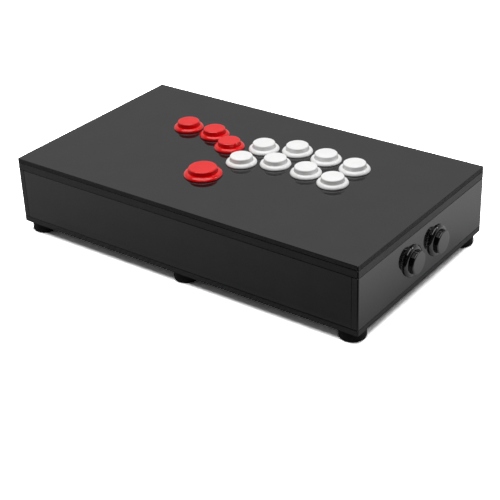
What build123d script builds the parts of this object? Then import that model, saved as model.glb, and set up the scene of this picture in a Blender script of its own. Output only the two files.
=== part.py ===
"""An all-button arcade controller: a low box of black sheet with fourteen snap-in push buttons.

Millimetres, +Z up. The player sits on the -Y side. The origin is on the surface that the feet
rest on, under the middle of the whole object, side buttons included.
"""
import os

from build123d import *

os.makedirs("parts", exist_ok=True)

# The box: outside sizes, and the sheets that it is built of from the bottom up.
case_width = 360.0
case_depth = 205.0
base_thickness = 5.5
wall_height = 47.0
wall_thickness = 6.0
frame_thickness = 6.8
top_thickness = 4.0
corner_radius = 1.5
edge_break = 0.4

# Feet and the posts that they are screwed to, on the same centres.
foot_height = 9.5
foot_diameter = 23.0
foot_inset = 12.8
foot_rounding = 1.2
frame_border = 20.0

# Snap-in buttons: what differs between the small and the large kind.
small_hole = 24.0
small_rim_overlap = 1.9
small_barrel_wall = 1.4
large_hole = 30.0
large_rim_overlap = 2.0
large_barrel_wall = 1.9

# Snap-in buttons: what both kinds share, measured from the outer face of the sheet.
button_height = 7.2
button_travel = 3.5
rim_height = 3.1
rim_edge_height = 0.8
rim_edge_undercut = 0.2
rim_bulge = 0.4
lip_width = 0.7
barrel_depth = 18.0
barrel_floor = 2.0
cap_thickness = 1.8
cap_wall = 1.5
cap_edge_radius = 1.1
stem_radius = 2.0
hook_width = 4.4
hook_height = 1.5
tab_width = 6.0
tab_length = 5.0
tab_proud = 0.8
tab_slit = 0.8

# Microswitch under each button.
switch_length = 19.8
switch_width = 6.4
switch_height = 10.2
pin_radius = 1.0
pin_depth = 3.0
terminal_width = 3.2
terminal_thickness = 0.5
terminal_length = 6.3
common_terminal_y = -6.5
signal_terminal_y = 1.5
clip_width = 5.0
clip_thickness = 1.4
clip_lip = 0.8
clip_ramp = 1.6

# Clearances.
barrel_clearance = 0.2
running_clearance = 0.3
stop_clearance = 0.1
screw_clearance = 0.2
thread_clearance = 0.05
slot_clearance = 0.15

# Screws.
post_screw_radius = 2.0
post_screw_grip = 12.0
pan_head_radius = 3.8
pan_head_height = 2.6
flat_head_radius = 3.8
drive_recess = 1.0
foot_recess_radius = 4.8
foot_recess_depth = 5.0

# Circuit board with its socket, near the back wall.
board_width = 70.0
board_depth = 45.0
board_thickness = 1.6
board_from_left = 62.0
board_wall_gap = 1.0
standoff_height = 6.0
standoff_flats = 5.5
standoff_inset = 4.0
standoff_stud = 4.0
board_screw_radius = 1.5
board_screw_length = 5.0
board_screw_head_radius = 2.7
board_screw_head_height = 1.5
socket_width = 12.0
socket_height = 11.0
socket_length = 16.3
socket_setback = 0.8
socket_wall = 0.4
socket_mouth_width = 8.5
socket_mouth_height = 7.8
socket_mouth_depth = 9.0
socket_mouth_chamfer = 1.95
tongue_width = 5.6
tongue_height = 3.2
header_width = 42.0
header_depth = 6.0
header_height = 8.5
processor_size = 12.0
processor_height = 1.6
crystal_length = 11.0
crystal_width = 4.5
crystal_height = 3.5
capacitor_radius = 2.5
capacitor_height = 7.0

# Wiring.
sleeve_width = 2.4
sleeve_depth = 5.0
sleeve_length = 8.0
wire_radius = 0.7
wire_drop = 4.0
wire_bend = 2.5
trunk_radius = 3.2
trunk_bend = 12.0
trunk_y = 16.0
trunk_side_gap = 54.0
plug_depth = 9.0
plug_inset = 0.5

# Button centres on the top, from the middle of the case: x to the right, y away from the player.
direction_buttons = {
    "left": (-89.5, 32.2),
    "down": (-58.6, 31.5),
    "right": (-31.1, 17.5),
}
jump_button = (-17.2, -39.1)
action_buttons = [
    (-1.7, 30.3),
    (26.7, 41.8),
    (57.8, 40.8),
    (89.3, 37.5),
    (-2.7, -2.7),
    (25.0, 10.0),
    (57.4, 9.5),
    (87.4, 5.4),
]
side_button_pitch = 40.8

# Levels and places that follow from the sizes above.
case_mid = -button_height / 2
case_left = case_mid - case_width / 2
case_right = case_mid + case_width / 2
case_front = -case_depth / 2
case_back = case_depth / 2
base_z = foot_height
wall_z = base_z + base_thickness
frame_z = wall_z + wall_height
top_z = frame_z + frame_thickness
panel_z = top_z + top_thickness
board_z = wall_z + standoff_height
board_top = board_z + board_thickness
board_x = case_left + board_from_left
board_back = case_back - wall_thickness - board_wall_gap
board_y = board_back - board_depth / 2
trunk_z = board_top + header_height / 2
post_size = 2 * (foot_inset - wall_thickness)

foot_spots = [
    (x, y)
    for y in (case_front + foot_inset, case_back - foot_inset)
    for x in (case_left + foot_inset, case_mid, case_right - foot_inset)
]
standoff_spots = [
    (board_x + x, board_y + y)
    for x in (standoff_inset - board_width / 2, board_width / 2 - standoff_inset)
    for y in (standoff_inset - board_depth / 2, board_depth / 2 - standoff_inset)
]


def top_seat(spot):
    """The plane of the top panel's outer face at a button centre, its normal along the button's axis."""
    return Plane(origin=(case_mid + spot[0], spot[1], panel_z))


def side_seat(y):
    """The same for a button in the right wall, half way up the wall."""
    return Plane(origin=(case_right, y, wall_z + wall_height / 2), x_dir=(0, 1, 0), z_dir=(1, 0, 0))


def upright(seat):
    """A plane that holds the button's axis: its x runs from the axis outwards, its y along the axis."""
    return Plane(origin=seat.origin, x_dir=seat.x_dir, z_dir=-seat.y_dir)


def crosswise(seat):
    """A plane that holds the button's axis, a quarter turn round from the upright one."""
    return Plane(origin=seat.origin, x_dir=seat.y_dir, z_dir=seat.x_dir)


small_kind = {"hole": small_hole, "overlap": small_rim_overlap, "wall": small_barrel_wall}
large_kind = {"hole": large_hole, "overlap": large_rim_overlap, "wall": large_barrel_wall}

buttons = {}
for name, spot in direction_buttons.items():
    buttons[name] = (top_seat(spot), small_kind)
buttons["jump"] = (top_seat(jump_button), large_kind)
for number, spot in enumerate(action_buttons, start=1):
    buttons[f"action_{number}"] = (top_seat(spot), small_kind)
for number, y in enumerate((-side_button_pitch / 2, side_button_pitch / 2), start=1):
    buttons[f"side_{number}"] = (side_seat(y), small_kind)

barrel_bottom = -barrel_depth
floor_top = barrel_bottom + barrel_floor
skirt_bottom = floor_top + button_travel + stop_clearance
hook_top = skirt_bottom + hook_height
stem_bottom = barrel_bottom + button_travel + running_clearance
pin_bottom = barrel_bottom - pin_depth
switch_bottom = barrel_bottom - switch_height
sleeve_bottom = switch_bottom - terminal_length - sleeve_length / 2
terminal_ys = (common_terminal_y, signal_terminal_y)


def barrel_radius(kind):
    return kind["hole"] / 2 - barrel_clearance


def bore_radius(kind):
    return barrel_radius(kind) - kind["wall"]


def cap_radius(kind):
    return bore_radius(kind) - running_clearance


def save(piece, node):
    piece.part.label = node
    export_step(piece.part, f"parts/{node}.step")


def button_housing(seat, kind):
    """Domed rim and barrel in one moulding, with snap tabs, hook windows and clips for the switch."""
    outer = barrel_radius(kind)
    bore = bore_radius(kind)
    rim = kind["hole"] / 2 + kind["overlap"]
    slit_length = 3 * kind["wall"]
    lip = (bore + lip_width, rim_height)
    edge = (rim, rim_edge_height)
    crest = ((lip[0] + edge[0]) / 2 + rim_bulge, (lip[1] + edge[1]) / 2 + rim_bulge)
    with BuildPart() as housing:
        with BuildSketch(upright(seat)):
            with BuildLine():
                Line((bore, rim_height), lip)
                ThreePointArc(lip, crest, edge)
                Polyline(
                    edge,
                    (rim - rim_edge_undercut, 0),
                    (outer, 0),
                    (outer, barrel_bottom),
                    (stem_radius + running_clearance, barrel_bottom),
                    (stem_radius + running_clearance, floor_top),
                    (bore, floor_top),
                    (bore, rim_height),
                )
            make_face()
        revolve(axis=Axis(seat.origin, seat.z_dir))
        # Snap tabs on two sides, each a wedge between two slits.
        with BuildSketch(upright(seat)):
            for side in (1, -1):
                with BuildLine():
                    Polyline(
                        (side * (outer - kind["wall"] / 2), -top_thickness),
                        (side * (outer + tab_proud), -top_thickness),
                        (side * (outer + tab_proud), -top_thickness - tab_proud),
                        (side * (outer - kind["wall"] / 2), -top_thickness - tab_length),
                        close=True,
                    )
                make_face()
        extrude(amount=tab_width / 2, both=True)
        with BuildSketch(seat.offset(-top_thickness)):
            for x in (-outer, outer):
                for y in (-1, 1):
                    with Locations((x, y * (tab_width + tab_slit) / 2)):
                        Rectangle(slit_length, tab_slit)
        extrude(amount=-tab_length, mode=Mode.SUBTRACT)
        # Windows that the plunger's hooks travel in.
        with BuildSketch(seat.offset(hook_top)):
            Rectangle(hook_width + 2 * running_clearance, 3 * outer)
            Circle(bore, mode=Mode.SUBTRACT)
        extrude(amount=floor_top - hook_top, mode=Mode.SUBTRACT)
        # Two clips that hold the switch against the underside of the floor.
        clip_face = switch_length / 2 + thread_clearance
        with BuildSketch(crosswise(seat)):
            for side in (1, -1):
                with BuildLine():
                    Polyline(
                        (side * clip_face, barrel_bottom + barrel_floor / 2),
                        (side * clip_face, switch_bottom - thread_clearance),
                        (side * (clip_face - clip_lip), switch_bottom - thread_clearance),
                        (side * clip_face, switch_bottom - clip_ramp),
                        (side * (clip_face + clip_thickness), switch_bottom - clip_ramp),
                        (side * (clip_face + clip_thickness), barrel_bottom + barrel_floor / 2),
                        close=True,
                    )
                make_face()
        extrude(amount=clip_width / 2, both=True)
    return housing


def button_plunger(seat, kind):
    """Cap with skirt, stem and two hooks, and below it the pin of the switch, a solid of its own."""
    cap = cap_radius(kind)
    with BuildPart() as plunger:
        with BuildSketch(upright(seat)):
            with BuildLine():
                Polyline(
                    (0, button_height),
                    (0, stem_bottom),
                    (stem_radius, stem_bottom),
                    (stem_radius, button_height - cap_thickness),
                    (cap - cap_wall, button_height - cap_thickness),
                    (cap - cap_wall, skirt_bottom),
                    (cap, skirt_bottom),
                    (cap, button_height - cap_edge_radius),
                )
                RadiusArc(
                    (cap, button_height - cap_edge_radius),
                    (cap - cap_edge_radius, button_height),
                    -cap_edge_radius,
                )
                Line((cap - cap_edge_radius, button_height), (0, button_height))
            make_face()
        revolve(axis=Axis(seat.origin, seat.z_dir))
        with BuildSketch(seat.offset(hook_top)):
            Rectangle(hook_width, 2 * (barrel_radius(kind) - running_clearance))
            Circle(cap - cap_wall / 2, mode=Mode.SUBTRACT)
        extrude(amount=-hook_height)
        with BuildSketch(seat.offset(pin_bottom)):
            Circle(pin_radius)
        extrude(amount=stem_bottom - thread_clearance - pin_bottom)
    return plunger


def button_switch(seat):
    """Microswitch body with the hole that its pin slides in, and two blade terminals."""
    with BuildPart() as switch:
        with BuildSketch(seat.offset(barrel_bottom)):
            Rectangle(switch_width, switch_length)
        extrude(amount=-switch_height)
        with BuildSketch(seat.offset(barrel_bottom)):
            Circle(pin_radius + running_clearance)
        extrude(amount=-pin_depth - button_travel - running_clearance, mode=Mode.SUBTRACT)
        with BuildSketch(seat.offset(switch_bottom)):
            for y in terminal_ys:
                with Locations((0, y)):
                    Rectangle(terminal_thickness, terminal_width)
        extrude(amount=-terminal_length)
    return switch


for name, (seat, kind) in buttons.items():
    save(button_housing(seat, kind), f"{name}_housing")
    save(button_plunger(seat, kind), f"{name}_plunger")
    save(button_switch(seat), f"{name}_switch")


# Top panel: one sheet with a hole for each button on the top.
with BuildPart() as top_panel:
    with BuildSketch(Plane.XY.offset(top_z)):
        with Locations((case_mid, 0)):
            RectangleRounded(case_width, case_depth, corner_radius)
    extrude(amount=top_thickness)
    chamfer(top_panel.faces().filter_by(Axis.Z).edges(), edge_break)
    with BuildSketch(Plane.XY.offset(panel_z)):
        for seat, kind in buttons.values():
            if seat.z_dir.Z > 0.5:
                with Locations((seat.origin.X, seat.origin.Y)):
                    Circle(kind["hole"] / 2)
    extrude(amount=-top_thickness, mode=Mode.SUBTRACT)
save(top_panel, "top_panel")


# Frame under the top panel: a thicker ring, countersunk for the screws into the posts.
with BuildPart() as top_frame:
    with BuildSketch(Plane.XY.offset(frame_z)):
        with Locations((case_mid, 0)):
            RectangleRounded(case_width, case_depth, corner_radius)
    extrude(amount=frame_thickness)
    chamfer(top_frame.faces().filter_by(Axis.Z).edges(), edge_break)
    with BuildSketch(Plane.XY.offset(top_z)):
        with Locations((case_mid, 0)):
            Rectangle(case_width - 2 * frame_border, case_depth - 2 * frame_border)
    extrude(amount=-frame_thickness, mode=Mode.SUBTRACT)
    with Locations(Plane.XY.offset(top_z)):
        with Locations(*foot_spots):
            CounterSinkHole(post_screw_radius + screw_clearance, flat_head_radius + screw_clearance)
save(top_frame, "top_frame")


def long_wall(outer_y, inner_y):
    """Front or back panel, standing between the side panels, with its edges broken."""
    with BuildPart() as wall:
        with BuildSketch(Plane.XY.offset(wall_z)):
            with Locations((case_mid, (outer_y + inner_y) / 2)):
                Rectangle(case_width - 2 * wall_thickness, wall_thickness)
        extrude(amount=wall_height)
        chamfer(wall.edges(), edge_break)
    return wall


def side_wall(outer_x, inner_x):
    """Left or right panel, the whole depth of the box, with its edges broken."""
    with BuildPart() as wall:
        with BuildSketch(Plane.XY.offset(wall_z)):
            with Locations(((outer_x + inner_x) / 2, 0)):
                Rectangle(wall_thickness, case_depth)
        extrude(amount=wall_height)
        outer_face = wall.faces().filter_by(Axis.X).sort_by_distance((outer_x, 0, wall_z + wall_height / 2))[0]
        fillet(outer_face.edges().filter_by(Axis.Z), corner_radius)
        chamfer(wall.faces().filter_by(Axis.Z).edges(), edge_break)
    return wall


save(long_wall(case_front, case_front + wall_thickness), "front_panel")
save(side_wall(case_left, case_left + wall_thickness), "left_panel")

# Back panel: the same sheet, with the opening for the USB socket.
with BuildPart() as back_panel:
    add(long_wall(case_back, case_back - wall_thickness).part)
    with BuildSketch(Plane.XZ.offset(-case_back)):
        with Locations((board_x, board_top + socket_height / 2)):
            Rectangle(socket_width + 2 * slot_clearance, socket_height + 2 * slot_clearance)
    extrude(amount=wall_thickness, mode=Mode.SUBTRACT)
save(back_panel, "back_panel")

# Right panel: two button holes, counterbored from inside to the thickness that the buttons snap into.
with BuildPart() as right_panel:
    add(side_wall(case_right, case_right - wall_thickness).part)
    for seat, kind in buttons.values():
        if seat.z_dir.X > 0.5:
            with BuildSketch(seat):
                Circle(kind["hole"] / 2)
            extrude(amount=-wall_thickness, mode=Mode.SUBTRACT)
            with BuildSketch(seat.offset(-top_thickness)):
                Circle(kind["hole"] / 2 + 2 * kind["overlap"])
            extrude(amount=top_thickness - wall_thickness, mode=Mode.SUBTRACT)
save(right_panel, "right_panel")


# Base plate: holes for the foot screws, blind holes for the board's standoffs.
with BuildPart() as base_plate:
    with BuildSketch(Plane.XY.offset(base_z)):
        with Locations((case_mid, 0)):
            RectangleRounded(case_width, case_depth, corner_radius)
    extrude(amount=base_thickness)
    chamfer(base_plate.faces().filter_by(Axis.Z).edges(), edge_break)
    with BuildSketch(Plane.XY.offset(base_z)):
        with Locations(*foot_spots):
            Circle(post_screw_radius + screw_clearance)
    extrude(amount=base_thickness, mode=Mode.SUBTRACT)
    with BuildSketch(Plane.XY.offset(wall_z)):
        with Locations(*standoff_spots):
            Circle(board_screw_radius + thread_clearance)
    extrude(amount=-standoff_stud - stop_clearance, mode=Mode.SUBTRACT)
save(base_plate, "base_plate")


# Posts: square bars bonded to the walls over the feet, tapped from both ends.
with BuildPart() as posts:
    with BuildSketch(Plane.XY.offset(wall_z)):
        with Locations(*foot_spots):
            Rectangle(post_size, post_size)
            Circle(post_screw_radius + thread_clearance, mode=Mode.SUBTRACT)
    extrude(amount=wall_height)
save(posts, "posts")


# Feet: rubber discs, recessed from beneath for the screw heads.
with BuildPart() as rubber_feet:
    with BuildSketch(Plane.XY):
        with Locations(*foot_spots):
            Circle(foot_diameter / 2)
    extrude(amount=foot_height)
    fillet(rubber_feet.edges().group_by(Axis.Z)[0], foot_rounding)
    with BuildSketch(Plane.XY):
        with Locations(*foot_spots):
            Circle(foot_recess_radius)
    extrude(amount=foot_recess_depth, mode=Mode.SUBTRACT)
    with BuildSketch(Plane.XY):
        with Locations(*foot_spots):
            Circle(post_screw_radius + screw_clearance)
    extrude(amount=foot_height, mode=Mode.SUBTRACT)
save(rubber_feet, "rubber_feet")


def cross_recess(size, depth):
    """Cut a cross drive into the sketch plane's screw heads; called inside a screw's BuildPart."""
    Box(size, size / 4, depth, mode=Mode.SUBTRACT)
    Box(size / 4, size, depth, mode=Mode.SUBTRACT)


# Foot screws: pan heads up inside the feet, through foot and base plate into the posts.
with BuildPart() as foot_screws:
    with BuildSketch(Plane.XY.offset(foot_recess_depth)):
        with Locations(*foot_spots):
            Circle(pan_head_radius)
    extrude(amount=-pan_head_height)
    with BuildSketch(Plane.XY.offset(foot_recess_depth)):
        with Locations(*foot_spots):
            Circle(post_screw_radius)
    extrude(amount=wall_z + post_screw_grip - foot_recess_depth)
    with Locations(Plane.XY.offset(foot_recess_depth - pan_head_height)):
        with Locations(*foot_spots):
            cross_recess(pan_head_radius, 2 * drive_recess)
save(foot_screws, "foot_screws")


# Frame screws: flat heads sunk in the frame, down into the posts.
with BuildPart() as frame_screws:
    with BuildSketch(Plane.XY.offset(top_z - screw_clearance)):
        with Locations(*foot_spots):
            Circle(flat_head_radius)
    extrude(amount=-(flat_head_radius - post_screw_radius), taper=45)
    with BuildSketch(Plane.XY.offset(top_z - screw_clearance)):
        with Locations(*foot_spots):
            Circle(post_screw_radius)
    extrude(amount=-frame_thickness - post_screw_grip)
    with Locations(Plane.XY.offset(top_z - screw_clearance)):
        with Locations(*foot_spots):
            cross_recess(flat_head_radius, 2 * drive_recess)
save(frame_screws, "frame_screws")


# Standoffs: hexagonal, each with a stud in the base plate and a threaded bore from the top.
with BuildPart() as board_standoffs:
    with BuildSketch(Plane.XY.offset(wall_z)):
        with Locations(*standoff_spots):
            RegularPolygon(standoff_flats / 2, 6, major_radius=False)
    extrude(amount=standoff_height)
    with BuildSketch(Plane.XY.offset(wall_z)):
        with Locations(*standoff_spots):
            Circle(board_screw_radius)
    extrude(amount=-standoff_stud)
    with BuildSketch(Plane.XY.offset(board_z)):
        with Locations(*standoff_spots):
            Circle(board_screw_radius + thread_clearance)
    extrude(amount=-board_screw_length, mode=Mode.SUBTRACT)
save(board_standoffs, "board_standoffs")


with BuildPart() as circuit_board:
    with BuildSketch(Plane.XY.offset(board_z)):
        with Locations((board_x, board_y)):
            Rectangle(board_width, board_depth)
        with Locations(*standoff_spots):
            Circle(board_screw_radius + screw_clearance, mode=Mode.SUBTRACT)
    extrude(amount=board_thickness)
save(circuit_board, "circuit_board")


with BuildPart() as board_screws:
    with BuildSketch(Plane.XY.offset(board_top)):
        with Locations(*standoff_spots):
            Circle(board_screw_head_radius)
    extrude(amount=board_screw_head_height)
    with BuildSketch(Plane.XY.offset(board_top)):
        with Locations(*standoff_spots):
            Circle(board_screw_radius)
    extrude(amount=stop_clearance - board_thickness - board_screw_length)
    with Locations(Plane.XY.offset(board_top + board_screw_head_height)):
        with Locations(*standoff_spots):
            cross_recess(board_screw_head_radius, drive_recess)
save(board_screws, "board_screws")


# What is soldered to the board: header at its front edge, processor, crystal and two capacitors.
header_front = board_back - board_depth + board_wall_gap
with BuildPart() as board_parts:
    with BuildSketch(Plane.XY.offset(board_top)):
        with Locations((board_x, header_front + header_depth / 2)):
            Rectangle(header_width, header_depth)
    extrude(amount=header_height)
    with BuildSketch(Plane.XY.offset(board_top)):
        with Locations((board_x, board_y - board_depth / 8)):
            Rectangle(processor_size, processor_size)
    extrude(amount=processor_height)
    with BuildSketch(Plane.XY.offset(board_top)):
        with Locations((board_x - board_width / 4, board_y)):
            SlotOverall(crystal_length, crystal_width, rotation=90)
    extrude(amount=crystal_height)
    with BuildSketch(Plane.XY.offset(board_top)):
        for x in (-1, 1):
            with Locations((board_x + x * socket_width, board_y + board_depth / 4)):
                Circle(capacitor_radius)
    extrude(amount=capacitor_height)
save(board_parts, "board_parts")


# USB socket: a metal shell closed at its back, and the plastic block with the tongue inside it.
socket_face = Plane(
    origin=(board_x, case_back - socket_setback, board_top + socket_height / 2),
    x_dir=(-1, 0, 0),
    z_dir=(0, 1, 0),
)
with BuildPart() as usb_shell:
    with BuildSketch(socket_face):
        Rectangle(socket_width, socket_height)
    extrude(amount=-socket_length)
    with BuildSketch(socket_face):
        Rectangle(socket_width - 2 * socket_wall, socket_height - 2 * socket_wall)
    extrude(amount=socket_wall - socket_length, mode=Mode.SUBTRACT)
save(usb_shell, "usb_shell")

with BuildPart() as usb_insert:
    with BuildSketch(socket_face):
        Rectangle(socket_width - 2 * socket_wall, socket_height - 2 * socket_wall)
    extrude(amount=socket_wall - socket_length)
    with BuildSketch(socket_face) as mouth:
        Rectangle(socket_mouth_width, socket_mouth_height)
        chamfer(mouth.vertices().group_by(Axis.Z)[-1], socket_mouth_chamfer)
        Rectangle(tongue_width, tongue_height, mode=Mode.SUBTRACT)
    extrude(amount=-socket_mouth_depth, mode=Mode.SUBTRACT)
save(usb_insert, "usb_insert")


# Wiring loom: a crimp sleeve and a wire for each terminal, laced to one trunk that ends in a plug.
trunk_start = Vector(case_right - trunk_side_gap, trunk_y, trunk_z)
with BuildPart() as wiring_loom:
    with BuildLine() as trunk_route:
        FilletPolyline(
            trunk_start,
            (board_x, trunk_y, trunk_z),
            (board_x, header_front - plug_depth, trunk_z),
            radius=trunk_bend,
        )
    with BuildSketch(Plane(origin=trunk_start, z_dir=(-1, 0, 0))):
        Circle(trunk_radius)
    sweep(path=trunk_route.line)
    with BuildSketch(Plane.XZ.offset(-header_front)):
        with Locations((board_x, trunk_z)):
            Rectangle(header_width, header_height - 2 * plug_inset)
    extrude(amount=plug_depth)
    for seat, kind in buttons.values():
        on_top = seat.z_dir.Z > 0.5
        meeting = Vector(seat.origin.X, trunk_y, trunk_z) if on_top else trunk_start
        with BuildSketch(seat.offset(sleeve_bottom)):
            for y in terminal_ys:
                with Locations((0, y)):
                    Rectangle(sleeve_width, sleeve_depth)
        extrude(amount=sleeve_length)
        with BuildSketch(seat.offset(switch_bottom - terminal_length - stop_clearance)):
            for y in terminal_ys:
                with Locations((0, y)):
                    Rectangle(terminal_thickness + slot_clearance, terminal_width + slot_clearance)
        extrude(amount=sleeve_length, mode=Mode.SUBTRACT)
        for y in terminal_ys:
            crimp = seat.from_local_coords(Vector(0, y, sleeve_bottom))
            turn = seat.from_local_coords(Vector(0, y, sleeve_bottom - wire_drop))
            with BuildLine() as wire_route:
                FilletPolyline(crimp, turn, meeting, radius=wire_bend)
            with BuildSketch(seat.offset(sleeve_bottom)):
                with Locations((0, y)):
                    Circle(wire_radius)
            sweep(path=wire_route.line)
save(wiring_loom, "wiring_loom")
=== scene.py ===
from math import cos, pi, radians, sin

import bmesh
import bpy
from mathutils import Matrix, Vector


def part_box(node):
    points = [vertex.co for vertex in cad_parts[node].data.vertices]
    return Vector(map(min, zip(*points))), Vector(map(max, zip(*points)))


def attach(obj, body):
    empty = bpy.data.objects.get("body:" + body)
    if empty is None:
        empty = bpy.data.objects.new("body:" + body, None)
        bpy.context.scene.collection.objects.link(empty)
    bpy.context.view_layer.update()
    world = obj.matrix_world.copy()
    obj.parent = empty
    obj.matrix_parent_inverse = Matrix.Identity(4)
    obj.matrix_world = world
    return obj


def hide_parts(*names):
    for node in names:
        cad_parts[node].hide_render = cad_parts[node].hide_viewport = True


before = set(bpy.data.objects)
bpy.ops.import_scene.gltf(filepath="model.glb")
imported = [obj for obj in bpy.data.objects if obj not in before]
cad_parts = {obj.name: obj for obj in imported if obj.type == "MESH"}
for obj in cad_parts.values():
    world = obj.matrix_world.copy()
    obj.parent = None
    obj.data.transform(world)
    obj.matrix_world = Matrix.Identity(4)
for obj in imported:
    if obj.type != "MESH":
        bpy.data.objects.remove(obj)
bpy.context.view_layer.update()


# The box. All its sheets are black acrylic, sawn to size. The walls are bonded to square posts, the
# base plate and the frame ring are screwed to them, and the top panel covers the ring. Faces keep
# their polish and sawn edges are duller. The bevels that break them are polished and painted
# darker, as painted shade for the joints between sheets.

def stretched(owner, value, start, end, low, high):
    """A node that carries a value from one range to another, in a material or in the world."""
    node = owner.node_tree.nodes.new("ShaderNodeMapRange")
    for socket, number in zip(node.inputs[1:5], (start, end, low, high)):
        socket.default_value = number
    owner.node_tree.links.new(value, node.inputs["Value"])
    return node


def worked(owner, kind, operation, *values, gives="Value"):
    """The result of one step of arithmetic, in a material or in the world."""
    node = owner.node_tree.nodes.new(kind)
    node.operation = operation
    for socket, value in zip(node.inputs, values):
        if isinstance(value, bpy.types.NodeSocket):
            owner.node_tree.links.new(value, socket)
        else:
            socket.default_value = value
    return node.outputs[gives]


tint_band = 0.35, 0.65
polish_band = 0.3, 0.7
mottle_detail = 4.0
grain_per_mottle = 12
grain_strength = 0.5


def surface(name, dark, light, roughness, mottle, bump=0.0, specular=0.5, metallic=0.0, ior=1.5):
    """A finish whose colour and roughness wander a little between two values, with a fine bump."""
    material = bpy.data.materials.new(name)
    material.use_nodes = True
    nodes, links = material.node_tree.nodes, material.node_tree.links
    shader = nodes["Principled BSDF"]
    shader.inputs["Specular IOR Level"].default_value = specular
    shader.inputs["Metallic"].default_value = metallic
    shader.inputs["IOR"].default_value = ior
    place = nodes.new("ShaderNodeTexCoord")
    noise = nodes.new("ShaderNodeTexNoise")
    noise.inputs["Scale"].default_value = mottle
    noise.inputs["Detail"].default_value = mottle_detail
    links.new(place.outputs["Object"], noise.inputs["Vector"])
    tint = nodes.new("ShaderNodeValToRGB")
    for element, position, tone in zip(tint.color_ramp.elements, tint_band, (dark, light)):
        element.position = position
        element.color = (*tone, 1.0)
    links.new(noise.outputs["Fac"], tint.inputs["Fac"])
    links.new(tint.outputs["Color"], shader.inputs["Base Color"])
    polish = stretched(material, noise.outputs["Fac"], *polish_band, *roughness)
    links.new(polish.outputs["Result"], shader.inputs["Roughness"])
    if bump:
        grain = nodes.new("ShaderNodeTexNoise")
        grain.inputs["Scale"].default_value = grain_per_mottle * mottle
        links.new(place.outputs["Object"], grain.inputs["Vector"])
        relief = nodes.new("ShaderNodeBump")
        relief.inputs["Strength"].default_value = grain_strength
        relief.inputs["Distance"].default_value = bump
        links.new(grain.outputs["Fac"], relief.inputs["Height"])
        links.new(relief.outputs["Normal"], shader.inputs["Normal"])
    return material


def dress(material, *node_names):
    """Give CAD nodes their finish."""
    for name in node_names:
        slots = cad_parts[name].data.materials
        slots.clear()
        slots.append(material)


acrylic_tones = (0.006, 0.006, 0.007), (0.008, 0.008, 0.009)
acrylic_polish = (0.05, 0.07)
acrylic_mottle = 40.0
coarse_saw = 0.8
fine_saw = 0.5
sawn_specular = 0.4
bevel_painted_shade = 0.1
nearly_one = 0.9


def sheet(name, facing, sawn, specular=0.5):
    """Black sheet with polished faces along one axis, flat edges of the roughness given, and bevels
    painted darker as painted shade.
    """
    material = surface(name, *acrylic_tones, acrylic_polish, acrylic_mottle, specular=specular)
    nodes, links = material.node_tree.nodes, material.node_tree.links
    shader = nodes["Principled BSDF"]
    polished = shader.inputs["Roughness"].links[0].from_socket
    mottled = shader.inputs["Base Color"].links[0].from_socket
    normal = nodes.new("ShaderNodeTexCoord").outputs["Normal"]
    plain, vector = "ShaderNodeMath", "ShaderNodeVectorMath"
    across = worked(material, vector, "DOT_PRODUCT", normal, facing)
    along = worked(material, plain, "ABSOLUTE", across)
    off_face = worked(material, plain, "LESS_THAN", along, nearly_one)
    squares = worked(material, vector, "MULTIPLY", normal, normal, gives="Vector")
    squareness = worked(material, vector, "DOT_PRODUCT", squares, squares)
    off_bevel = worked(material, plain, "GREATER_THAN", squareness, nearly_one)
    finish = nodes.new("ShaderNodeMix")
    finish.inputs["B"].default_value = sawn
    links.new(worked(material, plain, "MULTIPLY", off_bevel, off_face), finish.inputs["Factor"])
    links.new(polished, finish.inputs["A"])
    links.new(finish.outputs["Result"], shader.inputs["Roughness"])
    # Painted shade: the bevels' colour is cut to a share of the sheet's, standing in for the shade
    # that falls in the joints and grooves.
    share = stretched(material, off_bevel, 0.0, 1.0, bevel_painted_shade, 1.0).outputs["Result"]
    black = worked(material, vector, "MULTIPLY", mottled, share, gives="Vector")
    links.new(black, shader.inputs["Base Color"])
    return material


top_sheet = sheet("black_sheet_level", (0, 0, 1), coarse_saw)
long_sheet = sheet("black_sheet_long", (0, 1, 0), fine_saw)
side_sheet = sheet("black_sheet_side", (1, 0, 0), fine_saw)
edge_sheet = sheet("black_sheet_sawn", (0, 0, 0), fine_saw, sawn_specular)
dress(top_sheet, "top_panel")
dress(long_sheet, "front_panel", "back_panel")
dress(side_sheet, "left_panel", "right_panel")
dress(edge_sheet, "top_frame", "base_plate", "posts")


# Feet. Six black rubber discs, moulded with a rounded tread edge and a recess for the screw that
# holds each one to the base plate and the post above it.

def sweep(mesh, profile, segments=96):
    """Add a closed shell to a mesh: the profile's (radius, height) points swept round the Z axis.

    A profile that starts and ends on the axis closes there, any other one closes on itself."""
    closed_ring = profile[0][0] > 0
    rings = []
    for radius, height in profile:
        if radius == 0:
            rings.append([mesh.verts.new((0.0, 0.0, height))])
            continue
        angles = [2 * pi * step / segments for step in range(segments)]
        rings.append([mesh.verts.new((radius * cos(a), radius * sin(a), height)) for a in angles])
    pairs = list(zip(rings, rings[1:]))
    if closed_ring:
        pairs.append((rings[-1], rings[0]))
    for lower, upper in pairs:
        for step in range(segments):
            after = (step + 1) % segments
            corners = [lower[step % len(lower)], lower[after % len(lower)]]
            corners += [upper[after % len(upper)], upper[step % len(upper)]]
            mesh.faces.new(list(dict.fromkeys(corners)))


def shown(name, mesh):
    """Turn a bmesh into an object in the scene, with its faces pointing outwards."""
    bmesh.ops.recalc_face_normals(mesh, faces=mesh.faces)
    data = bpy.data.meshes.new(name)
    mesh.to_mesh(data)
    mesh.free()
    piece = bpy.data.objects.new(name, data)
    bpy.context.scene.collection.objects.link(piece)
    return piece


def turned(name, profile):
    """A piece turned round the Z axis, as an object."""
    mesh = bmesh.new()
    sweep(mesh, profile)
    return shown(name, mesh)


def arc(centre, radius, start, end, steps):
    """Points of a round stretch of a profile, from one angle to the other in degrees."""
    turns = [radians(start + (end - start) * step / steps) for step in range(steps + 1)]
    return [(centre[0] + radius * cos(t), centre[1] + radius * sin(t)) for t in turns]


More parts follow.
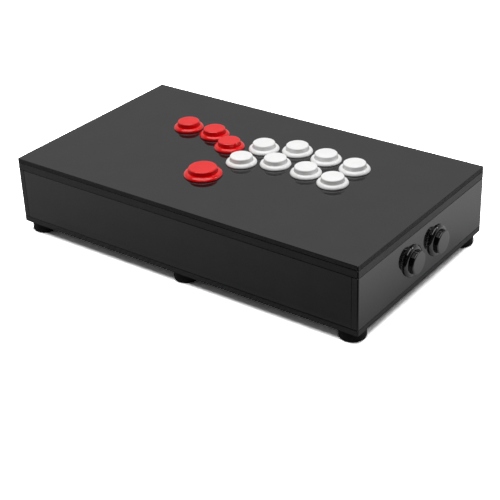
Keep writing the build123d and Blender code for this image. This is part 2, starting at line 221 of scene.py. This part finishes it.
def placing_tree():
    """Geometry nodes that copy a piece to every spot, turned to face one way, as one mesh."""
    tree = bpy.data.node_groups.new("placed_copies", "GeometryNodeTree")
    asked = {"Piece": "Geometry", "Spots": "Object", "Facing": "Vector", "Finish": "Material"}
    for name, kind in asked.items():
        tree.interface.new_socket(name, in_out="INPUT", socket_type="NodeSocket" + kind)
    tree.interface.new_socket("Mesh", in_out="OUTPUT", socket_type="NodeSocketGeometry")
    nodes, links = tree.nodes, tree.links
    given = nodes.new("NodeGroupInput")
    made = nodes.new("NodeGroupOutput")
    spots = nodes.new("GeometryNodeObjectInfo")
    turn = nodes.new("FunctionNodeAlignRotationToVector")
    turn.axis = "Z"
    copies = nodes.new("GeometryNodeInstanceOnPoints")
    real = nodes.new("GeometryNodeRealizeInstances")
    finish = nodes.new("GeometryNodeSetMaterial")
    links.new(given.outputs["Spots"], spots.inputs["Object"])
    links.new(spots.outputs["Geometry"], copies.inputs["Points"])
    links.new(given.outputs["Piece"], copies.inputs["Instance"])
    links.new(given.outputs["Facing"], turn.inputs["Vector"])
    links.new(turn.outputs["Rotation"], copies.inputs["Rotation"])
    links.new(copies.outputs["Instances"], real.inputs["Geometry"])
    links.new(real.outputs["Geometry"], finish.inputs["Geometry"])
    links.new(given.outputs["Finish"], finish.inputs["Material"])
    links.new(finish.outputs["Geometry"], made.inputs["Mesh"])
    return tree


copies_tree = placing_tree()
sharp_angle = radians(32)


def final_mesh(piece):
    """The plain mesh that a piece's modifiers make of it."""
    graph = bpy.context.evaluated_depsgraph_get()
    return bpy.data.meshes.new_from_object(piece.evaluated_get(graph))


def placed(name, master, spots, facing, material, body, *replaced):
    """One piece made of a copy of master at each spot, riding on a body in place of CAD nodes."""
    marks = bmesh.new()
    for spot in spots:
        marks.verts.new(spot)
    marker = shown(name + "_spots", marks)
    holder = bpy.data.objects.new(name + "_holder", master.data)
    bpy.context.scene.collection.objects.link(holder)
    modifier = holder.modifiers.new("copies", "NODES")
    modifier.node_group = copies_tree
    values = {"Spots": marker, "Facing": facing, "Finish": material}
    for item in copies_tree.interface.items_tree:
        if item.in_out == "INPUT" and item.name in values:
            modifier[item.identifier] = values[item.name]
    data = final_mesh(holder)
    holder.modifiers.remove(modifier)
    bpy.data.objects.remove(holder)
    bpy.data.objects.remove(marker)
    data.name = name
    data.polygons.foreach_set("use_smooth", [True] * len(data.polygons))
    data.set_sharp_from_angle(angle=sharp_angle)
    piece = bpy.data.objects.new(name, data)
    bpy.context.scene.collection.objects.link(piece)
    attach(piece, body)
    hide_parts(*replaced)
    return piece


foot_low, foot_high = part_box("rubber_feet")
foot_radius = 0.0115
foot_rounding = 0.0014
foot_recess_radius = 0.0048
foot_recess_depth = 0.005
foot_mouth = 0.0004
foot_shoulder = 0.0005
foot_bore = 0.0022
foot_height = foot_high.z - foot_low.z
middle_x = (foot_low.x + foot_high.x) / 2
foot_spots = [
    (x, y, foot_low.z)
    for x in (foot_low.x + foot_radius, middle_x, foot_high.x - foot_radius)
    for y in (foot_low.y + foot_radius, foot_high.y - foot_radius)
]
foot_profile = [(foot_bore, foot_height), (foot_bore, foot_recess_depth)]
foot_profile += [(foot_recess_radius, foot_recess_depth), (foot_recess_radius, foot_mouth)]
foot_profile += [(foot_recess_radius + foot_mouth, 0.0)]
tread_centre = foot_radius - foot_rounding, foot_rounding
foot_profile += arc(tread_centre, foot_rounding, -90, 0, steps=6)
shoulder_centre = foot_radius - foot_shoulder, foot_height - foot_shoulder
foot_profile += arc(shoulder_centre, foot_shoulder, 0, 90, steps=3)
foot_master = turned("foot_master", foot_profile)
up = (0, 0, 1)
rubber_tones = (0.0015, 0.0015, 0.0015), (0.003, 0.003, 0.003)
foot_rubber = surface(
    "foot_rubber", *rubber_tones, roughness=(0.6, 0.75), mottle=300.0, bump=0.00004, specular=0.2
)
feet = placed("feet", foot_master, foot_spots, up, foot_rubber, "root", "rubber_feet")
bpy.data.objects.remove(foot_master)


# Screws. Bright zinc-plated steel, driven into the posts: pan heads in the recesses of the feet,
# flat heads in the frame ring under the top panel, and small ones that hold the board.

zinc_tones = (0.50, 0.50, 0.51), (0.60, 0.60, 0.60)
zinc = surface(
    "zinc_plate", *zinc_tones, roughness=(0.25, 0.4), mottle=600.0, bump=0.00001, metallic=1.0
)
dress(zinc, "foot_screws", "frame_screws", "board_screws")


# Circuit board with its socket. A green board on brass standoffs, with black parts soldered on it
# and a tin-plated data socket whose mouth stands in the back wall.

mask_tones = (0.010, 0.10, 0.035), (0.016, 0.14, 0.05)
moulding_tones = (0.015, 0.015, 0.015), (0.022, 0.022, 0.022)
brass_tones = (0.62, 0.42, 0.16), (0.72, 0.52, 0.24)
tin_tones = (0.55, 0.55, 0.56), (0.68, 0.68, 0.68)
board_mask = surface(
    "solder_mask", *mask_tones, roughness=(0.25, 0.35), mottle=500.0, bump=0.00001
)
black_part = surface(
    "black_moulding", *moulding_tones, roughness=(0.4, 0.55), mottle=700.0, bump=0.00001
)
turned_brass = surface(
    "turned_brass", *brass_tones, roughness=(0.2, 0.35), mottle=500.0, metallic=1.0
)
tin_plate = surface(
    "tin_plate", *tin_tones, roughness=(0.2, 0.32), mottle=500.0, metallic=1.0
)
dress(board_mask, "circuit_board")
dress(black_part, "board_parts", "usb_insert")
dress(turned_brass, "board_standoffs")
dress(tin_plate, "usb_shell")


# Wiring. Two black wires come from each switch, with crimp sleeves on its terminals. They are
# laced into one trunk that runs along the walls to the plug on the board.

sleeve_tones = (0.012, 0.012, 0.012), (0.02, 0.02, 0.02)
wire_sleeve = surface(
    "wire_sleeve", *sleeve_tones, roughness=(0.35, 0.5), mottle=400.0, bump=0.00001
)
dress(wire_sleeve, "wiring_loom")


# Switches. A small microswitch in a black moulded case, with two blade terminals, is clipped under
# every button.

switch_names = [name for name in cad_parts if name.endswith("_switch")]
dress(black_part, *switch_names)


# Buttons. Each is a moulded housing that snaps into its hole, with a domed rim over the sheet, and
# a plunger hooked into it that pushes the pin of its switch. All are polished plastic: red for
# directions and the large one to jump, white for actions, black in the side wall.

def plastic(name, dark, light, roughness, ior=1.5):
    """Polished plastic as it comes out of the mould."""
    return surface(name, dark, light, roughness, mottle=120.0, bump=0.000002, ior=ior)


red_tones = (0.76, 0.002, 0.003), (0.82, 0.004, 0.006)
white_tones = (0.85, 0.85, 0.845), (0.89, 0.89, 0.885)
black_tones = (0.0015, 0.0015, 0.0015), (0.003, 0.003, 0.003)
moulded_polish = (0.07, 0.13)
black_polish = (0.03, 0.05)
black_ior = 1.62
finishes = {
    "button_red": plastic("red_plastic", *red_tones, moulded_polish),
    "button_white": plastic("white_plastic", *white_tones, moulded_polish),
    "button_black": plastic("black_plastic", *black_tones, black_polish, black_ior),
}

panel_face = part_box("top_panel")[1].z
wall_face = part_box("right_panel")[1].x
rim_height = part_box("jump_housing")[1].z - panel_face
button_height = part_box("jump_plunger")[1].z - panel_face
small_hole = 0.012
large_hole = 0.015
hole_gap = 0.0002
running_gap = 0.0003
stop_gap = 0.0001
close_gap = 0.00005
travel = 0.0035
barrel_bottom = -0.018
barrel_floor = 0.002
floor_top = barrel_bottom + barrel_floor
stem_radius = 0.002
edge_height = 0.0008
edge_undercut = 0.0002
undercut_height = 0.0004
lip_width = 0.0007
rim_bulge = 0.0004
lip_rounding = 0.00018
cap_crown = 0.0001
cap_edge = 0.0011
cap_wall = 0.0015
cap_thickness = 0.0018
skirt_bottom = floor_top + travel + stop_gap
stem_bottom = barrel_bottom + travel + running_gap
pin_radius = 0.001
pin_rounding = 0.0003
pin_depth = 0.003
pin_top = stem_bottom - close_gap
pin_bottom = barrel_bottom - pin_depth
hook_width = 0.0044
hook_height = 0.0015
hook_top = skirt_bottom + hook_height
tab_width = 0.006
tab_length = 0.005
tab_top = -0.004
tab_bottom = tab_top - tab_length
tab_proud = 0.0008
tab_slit = 0.0008
through_wall = 1.5
switch_height = 0.0102
switch_low, switch_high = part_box("jump_switch")
clip_face = (switch_high.y - switch_low.y) / 2 + close_gap
clip_width = 0.005
clip_thickness = 0.0014
clip_lip = 0.0008
clip_ramp = 0.0016
clip_root = barrel_bottom + barrel_floor / 2
clip_ledge = barrel_bottom - switch_height - close_gap
clip_bottom = barrel_bottom - switch_height - clip_ramp


def arc_through(start, middle, end, steps):
    """Points of the arc through three points, both ends included."""
    ax, ay = start
    bx, by = middle
    cx, cy = end
    d = 2 * (ax * (by - cy) + bx * (cy - ay) + cx * (ay - by))
    a2, b2, c2 = ax * ax + ay * ay, bx * bx + by * by, cx * cx + cy * cy
    centre = Vector(((a2 * (by - cy) + b2 * (cy - ay) + c2 * (ay - by)) / d,
                     (a2 * (cx - bx) + b2 * (ax - cx) + c2 * (bx - ax)) / d))
    first, last = Vector(start) - centre, Vector(end) - centre
    turn = first.angle_signed(last)
    points = []
    for step in range(steps + 1):
        spoke = first.copy()
        spoke.rotate(Matrix.Rotation(-turn * step / steps, 2))
        points.append(tuple(centre + spoke))
    return points


def housing_profile(hole, rim, bore):
    """Section of a housing, from the foot of its bore up over lip and dome to the barrel."""
    barrel = hole - hole_gap
    lip = (bore + lip_width, rim_height)
    edge = (rim, edge_height)
    crest = ((lip[0] + edge[0]) / 2 + rim_bulge, (lip[1] + edge[1]) / 2 + rim_bulge)
    points = [(bore, floor_top)]
    points += arc((bore + lip_rounding, rim_height - lip_rounding), lip_rounding, 180, 90, steps=4)
    points += arc_through(lip, crest, edge, steps=14)
    points += [(rim - edge_undercut / 2, undercut_height), (rim - edge_undercut, 0.0)]
    points += [(barrel, 0.0), (barrel, barrel_bottom)]
    points += [(stem_radius + running_gap, barrel_bottom), (stem_radius + running_gap, floor_top)]
    return points


def plunger_profile(cap):
    """Section of a plunger, from the middle of its top over the rounded edge to its stem's end."""
    shoulder = button_height - cap_crown
    points = [(0.0, button_height)]
    points += [(cap * part, button_height - cap_crown * part * part) for part in (0.25, 0.5, 0.75)]
    points += arc((cap - cap_edge, shoulder - cap_edge), cap_edge, 90, 0, steps=8)
    inner, underside = cap - cap_wall, button_height - cap_thickness
    points += [(cap, skirt_bottom), (inner, skirt_bottom), (inner, underside)]
    points += [(stem_radius, underside), (stem_radius, stem_bottom), (0.0, stem_bottom)]
    return points


def pair(mesh, outline, span, crosswise):
    """Add two straight blocks to a mesh, one on each side of the axis.

    Each is an outline of (radius, height) points, spread sideways over a span. Crosswise ones
    stand a quarter turn round the axis from the others."""
    for side in (1, -1):
        layers = []
        for y in span:
            spots = [(side * radius, y, height) for radius, height in outline]
            if crosswise:
                spots = [(-y, x, z) for x, y, z in spots]
            layers.append([mesh.verts.new(spot) for spot in spots])
        near, far = layers
        mesh.faces.new(near)
        mesh.faces.new(far)
        for corner in range(len(outline)):
            mesh.faces.new((near[corner - 1], near[corner], far[corner], far[corner - 1]))


def halves(width):
    """The span of a block that lies evenly about the axis."""
    return -width / 2, width / 2


def oblong(near, far, bottom, top):
    """The outline of a block with square corners."""
    return [(near, bottom), (far, bottom), (far, top), (near, top)]


def fitted(piece, **others):
    """Join one mesh to a piece, or cut one out of it, for good."""
    for operation, mesh in others.items():
        other = shown(f"{piece.name}_{operation}", mesh)
        modifier = piece.modifiers.new(operation, "BOOLEAN")
        modifier.operation = operation
        modifier.solver = "EXACT"
        modifier.object = other
        piece.data = final_mesh(piece)
        piece.modifiers.remove(modifier)
        bpy.data.objects.remove(other)
    return piece


def housing(name, hole, rim, bore, on_side):
    """A housing with snap tabs between slits, windows for the hooks and clips for the switch."""
    barrel = hole - hole_gap
    wall = barrel - bore
    added, cut = bmesh.new(), bmesh.new()
    tab = [(barrel - wall / 2, tab_top), (barrel + tab_proud, tab_top)]
    tab += [(barrel + tab_proud, tab_top - tab_proud), (barrel - wall / 2, tab_bottom)]
    pair(added, tab, halves(tab_width), on_side)
    clip_back = clip_face + clip_thickness
    clip = [(clip_face, clip_root), (clip_face, clip_ledge), (clip_face - clip_lip, clip_ledge)]
    clip += [(clip_face, clip_bottom), (clip_back, clip_bottom), (clip_back, clip_root)]
    pair(added, clip, halves(clip_width), not on_side)
    through = barrel - through_wall * wall, barrel + through_wall * wall
    for edge in (-tab_width / 2 - tab_slit, tab_width / 2):
        pair(cut, oblong(*through, tab_bottom, tab_top), (edge, edge + tab_slit), on_side)
    window = oblong(*through, floor_top, hook_top)
    pair(cut, window, halves(hook_width + 2 * running_gap), not on_side)
    return fitted(turned(name, housing_profile(hole, rim, bore)), UNION=added, DIFFERENCE=cut)


def plunger(name, hole, cap, on_side):
    """A plunger with its two hooks, and the pin of the switch that it pushes."""
    added = bmesh.new()
    hook = oblong(cap - cap_wall / 2, hole - hole_gap - running_gap, skirt_bottom, hook_top)
    pair(added, hook, halves(hook_width), not on_side)
    pin = [(0.0, pin_top), (pin_radius, pin_top)]
    pin_centre = pin_radius - pin_rounding, pin_bottom + pin_rounding
    pin += arc(pin_centre, pin_rounding, 0, -90, steps=3)
    sweep(added, [*pin, (0.0, pin_bottom)], segments=24)
    return fitted(turned(name, plunger_profile(cap)), UNION=added)


def radii_of(name):
    """Radii of a button's hole, rim and cap, measured along the box, where no hook stands out."""
    across = "y" if name.startswith("side") else "x"
    rim, cap = (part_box(name + part) for part in ("_housing", "_plunger"))
    half = [(getattr(high, across) - getattr(low, across)) / 2 for low, high in (rim, cap)]
    return large_hole if name == "jump" else small_hole, *half


slots = dict.fromkeys(("left", "down", "right", "jump"), "button_red")
slots |= {f"action_{number}": "button_white" for number in range(1, 9)}
slots |= {f"side_{number}": "button_black" for number in (1, 2)}
for name, slot in slots.items():
    hole, rim, cap = radii_of(name)
    low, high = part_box(name + "_housing")
    middle = (low + high) / 2
    on_side = name.startswith("side")
    spot = (wall_face, middle.y, middle.z) if on_side else (middle.x, middle.y, panel_face)
    fixing = [spot], (1, 0, 0) if on_side else up, finishes[slot]
    rim_master = housing(name + "_rim_master", hole, rim, cap + running_gap, on_side)
    rim_piece = placed(name + "_rim", rim_master, *fixing, "root", name + "_housing")
    cap_master = plunger(name + "_cap_master", hole, cap, on_side)
    cap_piece = placed(name + "_button", cap_master, *fixing, name + "_cap", name + "_plunger")
    bpy.data.objects.remove(rim_master)
    bpy.data.objects.remove(cap_master)


# Floor. A white paper sweep under the box. The camera sees it as bright as paper on a light table.
# For the polished walls that mirror it, shade is painted into the paper by place: darker in front
# towards the player's side, past the right corner and near the right wall.
# Each painted fade runs from one place to another along an axis, and from one share of the light to
# another.

floor_reach = 1.6
paper_white = 0.92
light_table = 3.2
front_painted_shade = -0.25, 0.12, 0.88, 0.42
corner_painted_shade = 0.17, 0.22, 1.0, 0.08
painted_shade_edge = -0.13, -0.095, 0.0, 1.0
side_painted_shade = 0.18, 0.245, 0.68, 1.0


def paper(name, lightness, seen):
    """White paper with one lightness for the light it throws back and another for the camera, with
    shade painted in by place for glossy rays.
    """
    material = bpy.data.materials.new(name)
    material.use_nodes = True
    nodes, links = material.node_tree.nodes, material.node_tree.links
    nodes.remove(nodes["Principled BSDF"])
    matt = nodes.new("ShaderNodeBsdfDiffuse")
    path = nodes.new("ShaderNodeLightPath")
    place = nodes.new("ShaderNodeTexCoord")
    along = nodes.new("ShaderNodeSeparateXYZ")
    links.new(place.outputs["Object"], along.inputs[0])
    along_x, along_y = along.outputs["X"], along.outputs["Y"]
    times = material, "ShaderNodeMath", "MULTIPLY"
    # Painted shade: what glossy rays see of the paper is darkened by place, not by the lamps.
    in_front = stretched(material, along_x, *front_painted_shade).outputs["Result"]
    past_corner = stretched(material, along_x, *corner_painted_shade).outputs["Result"]
    beside = stretched(material, along_x, *side_painted_shade).outputs["Result"]
    shade = stretched(material, along_y, *painted_shade_edge)
    links.new(worked(*times, in_front, past_corner), shade.inputs["To Min"])
    painted_shade_level = worked(*times, shade.outputs["Result"], beside)
    mirrored = nodes.new("ShaderNodeMix")
    mirrored.inputs["A"].default_value = lightness
    links.new(path.outputs["Is Glossy Ray"], mirrored.inputs["Factor"])
    links.new(worked(*times, painted_shade_level, lightness), mirrored.inputs["B"])
    bright = nodes.new("ShaderNodeMix")
    bright.inputs["B"].default_value = seen
    links.new(path.outputs["Is Camera Ray"], bright.inputs["Factor"])
    links.new(mirrored.outputs["Result"], bright.inputs["A"])
    links.new(bright.outputs["Result"], matt.inputs["Color"])
    links.new(matt.outputs[0], nodes["Material Output"].inputs["Surface"])
    return material


floor_mesh = bmesh.new()
bmesh.ops.create_grid(floor_mesh, x_segments=1, y_segments=1, size=floor_reach)
floor = shown("floor", floor_mesh)
floor.data.materials.append(paper("white_paper", paper_white, light_table))


# Light. The room is pale all round, with a darker band half way up and a dim ceiling, except on
# the player's side, which is dark. A broad soft lamp hangs overhead and a small one past the far
# corner. Room levels go by height, from the horizon upwards.

horizon_level = 0.78
room_levels = (0.18, 0.72), (0.36, 0.42), (0.54, 0.72), (0.62, 0.66), (0.75, 0.25)
player_side = (0.5, -0.866, 0.0)
player_fade = -0.2, 0.4, 1.0, 0.08

world = bpy.data.worlds.new("surround")
bpy.context.scene.world = world
world.use_nodes = True
air, wires = world.node_tree.nodes, world.node_tree.links
background = air["Background"]
background.inputs["Color"].default_value = (1.0, 1.0, 1.0, 1.0)
path = air.new("ShaderNodeLightPath")
way = air.new("ShaderNodeTexCoord")
height = air.new("ShaderNodeSeparateXYZ")
wires.new(way.outputs["Generated"], height.inputs[0])
walls = air.new("ShaderNodeValToRGB")
walls.color_ramp.elements.remove(walls.color_ramp.elements[1])
walls.color_ramp.elements[0].color = (horizon_level, horizon_level, horizon_level, 1.0)
for position, level in room_levels:
    walls.color_ramp.elements.new(position).color = (level, level, level, 1.0)
wires.new(height.outputs["Z"], walls.inputs["Fac"])
vector, onward = "ShaderNodeVectorMath", way.outputs["Generated"]
towards = worked(world, vector, "DOT_PRODUCT", onward, player_side)
dimming = stretched(world, towards, *player_fade)
dimming.interpolation_type = "SMOOTHSTEP"
level, share = walls.outputs["Color"], dimming.outputs["Result"]
room = worked(world, "ShaderNodeMath", "MULTIPLY", level, share)
seen = air.new("ShaderNodeMix")
seen.inputs["B"].default_value = 1.0
wires.new(path.outputs["Is Camera Ray"], seen.inputs["Factor"])
wires.new(room, seen.inputs["A"])
wires.new(seen.outputs["Result"], background.inputs["Strength"])


def lamp(name, place, size, watts):
    """A soft rectangular lamp that hangs at a place and points straight down."""
    data = bpy.data.lights.new(name, "AREA")
    data.shape = "RECTANGLE"
    data.size, data.size_y = size
    data.energy = watts
    lamp_object = bpy.data.objects.new(name, data)
    lamp_object.location = place
    bpy.context.scene.collection.objects.link(lamp_object)


lamp("overhead_lamp", place=(0.0, -0.2, 1.5), size=(1.8, 1.5), watts=24.0)
lamp("far_lamp", place=(0.84, 0.87, 1.24), size=(0.5, 0.3), watts=3.5)

bpy.context.scene.view_settings.view_transform = "Standard"


# Camera. It stands to the right of the player's seat and above it, and looks down at the middle of
# the box through a long lens.

camera_place = Vector((0.6107, -0.8096, 0.5571))
camera_yaw = radians(37.129)
camera_tilt = radians(60.547)
camera_roll = radians(-2.261)
camera_data = bpy.data.cameras.new("camera")
camera_data.sensor_width = 36.0
camera_data.lens = 91.79
camera_data.shift_x = -0.001
camera_data.shift_y = 0.001
camera = bpy.data.objects.new("camera", camera_data)
turn = Matrix.Rotation(camera_yaw, 4, "Z") @ Matrix.Rotation(camera_tilt, 4, "X")
turn = turn @ Matrix.Rotation(camera_roll, 4, "Z")
camera.matrix_world = Matrix.Translation(camera_place) @ turn
bpy.context.scene.collection.objects.link(camera)
bpy.context.scene.camera = camera
